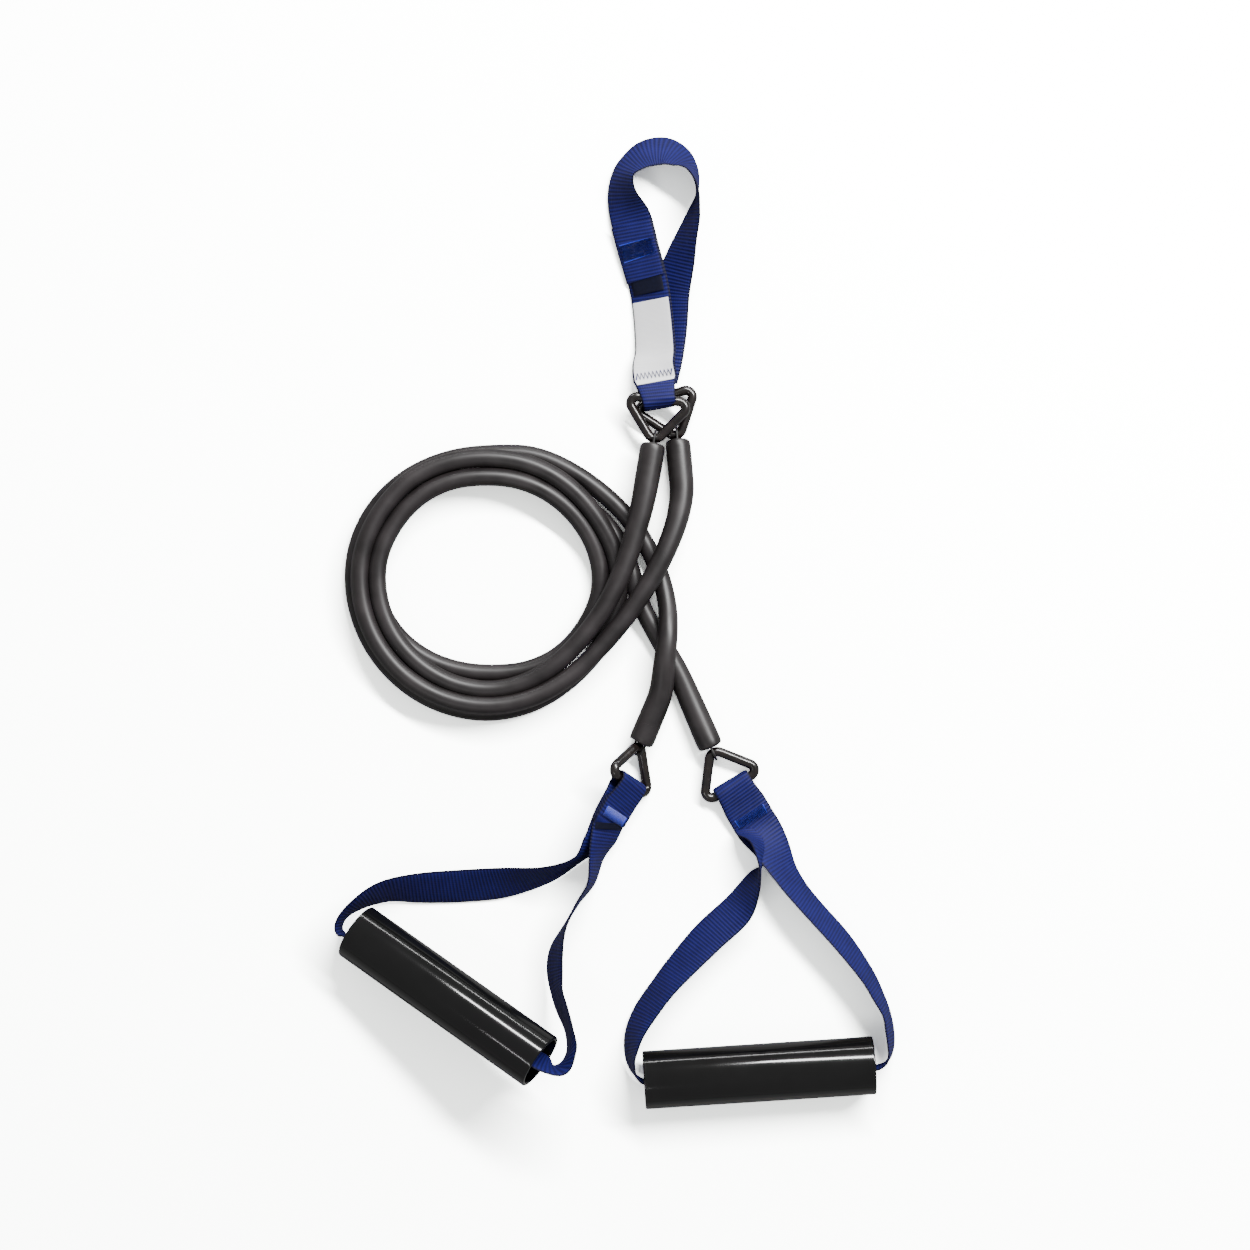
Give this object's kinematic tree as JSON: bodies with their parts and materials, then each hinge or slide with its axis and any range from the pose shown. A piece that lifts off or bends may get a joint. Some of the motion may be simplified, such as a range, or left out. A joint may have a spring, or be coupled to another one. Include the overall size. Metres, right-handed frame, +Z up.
{
  "type": "resistance_band",
  "caption": "Resistance band: two coiled black rubber tubes on triangular rings, with a blue webbing anchor strap and two webbing handles with hollow grips",
  "frame": {"origin": "on the table, under the middle of the straps and grips", "axes": "+Z up from the table, +Y towards the anchor strap, +X to the right seen from above"},
  "size_m": [0.3212, 0.5628, 0.0667],
  "materials": {
    "webbing_blue": "woven nylon webbing with crosswise ribs",
    "tack_thread": "dense bar-tack stitching",
    "label_white": "plain woven label",
    "label_thread": "zigzag stitching",
    "tube_rubber": "satin natural rubber tube",
    "loop_rubber": "thin rubber loop",
    "plug_plastic": "moulded stopper",
    "ring_wire": "glossy black coating on steel wire",
    "grip_gloss": "glossy black tube"
  },
  "bodies": {
    "tubing": {"left_tube_lead": "tube_rubber", "right_tube_lead": "tube_rubber", "left_tube_tail": "tube_rubber", "right_tube_tail": "tube_rubber", "tube_coil": "tube_rubber", "upper_left_tube_end": "tube_rubber", "upper_left_end_plug": "plug_plastic", "upper_left_end_loop": "loop_rubber", "upper_right_tube_end": "tube_rubber", "upper_right_end_plug": "plug_plastic", "upper_right_end_loop": "loop_rubber", "lower_left_tube_end": "tube_rubber", "lower_left_end_plug": "plug_plastic", "lower_left_end_loop": "loop_rubber", "lower_right_tube_end": "tube_rubber", "lower_right_end_plug": "plug_plastic", "lower_right_end_loop": "loop_rubber"},
    "upper_rings": {"upper_left_ring": "ring_wire", "upper_right_ring": "ring_wire"},
    "anchor": {"anchor_strap": "webbing_blue", "anchor_label": "label_white", "label_stitching": "label_thread", "anchor_bar_tack": "tack_thread"},
    "left_ring": {"lower_left_ring": "ring_wire"},
    "right_ring": {"lower_right_ring": "ring_wire"},
    "left_handle_strap": {"left_strap": "webbing_blue", "left_strap_bar_tack": "tack_thread"},
    "right_handle_strap": {"right_strap": "webbing_blue", "right_strap_bar_tack": "tack_thread"},
    "left_hand_grip": {"left_grip": "grip_gloss"},
    "right_hand_grip": {"right_grip": "grip_gloss"}
  },
  "joints": [
    {"name": "upper_rings_swing", "type": "hinge", "parent": "tubing", "child": "upper_rings", "pos_m": [0.028, 0.1067, 0.0104], "axis": [0.8981, 0.1633, -0.4082], "range_deg": [0, 12]},
    {"name": "anchor_swing", "type": "hinge", "parent": "upper_rings", "child": "anchor", "pos_m": [0.024, 0.128, 0.0104], "axis": [0.9829, 0.184, 0], "range_deg": [0, 90]},
    {"name": "left_ring_swing", "type": "hinge", "parent": "tubing", "child": "left_ring", "pos_m": [0.0124, -0.0732, 0.0074], "axis": [-0.5723, 0.4112, 0.7094], "range_deg": [0, 45]},
    {"name": "right_ring_swing", "type": "hinge", "parent": "tubing", "child": "right_ring", "pos_m": [0.0556, -0.0761, 0.0072], "axis": [-0.8601, -0.5101, 0], "range_deg": [0, 60]},
    {"name": "left_strap_swing", "type": "hinge", "parent": "left_ring", "child": "left_handle_strap", "pos_m": [0.00687, -0.09384, 0.01507], "axis": [-0.5723, 0.4112, 0.7094], "range_deg": [0, 60]},
    {"name": "right_strap_swing", "type": "hinge", "parent": "right_ring", "child": "right_handle_strap", "pos_m": [0.06714, -0.09554, 0.00511], "axis": [-0.8601, -0.5101, 0], "range_deg": [0, 80]},
    {"name": "left_grip_spin", "type": "hinge", "parent": "left_handle_strap", "child": "left_hand_grip", "pos_m": [-0.0969, -0.2142, 0.03315], "axis": [0.8055, -0.539, 0.2462], "continuous": true},
    {"name": "right_grip_spin", "type": "hinge", "parent": "right_handle_strap", "child": "right_hand_grip", "pos_m": [0.08175, -0.26, 0.0168], "axis": [0.9979, 0.0647, 0], "continuous": true}
  ]
}
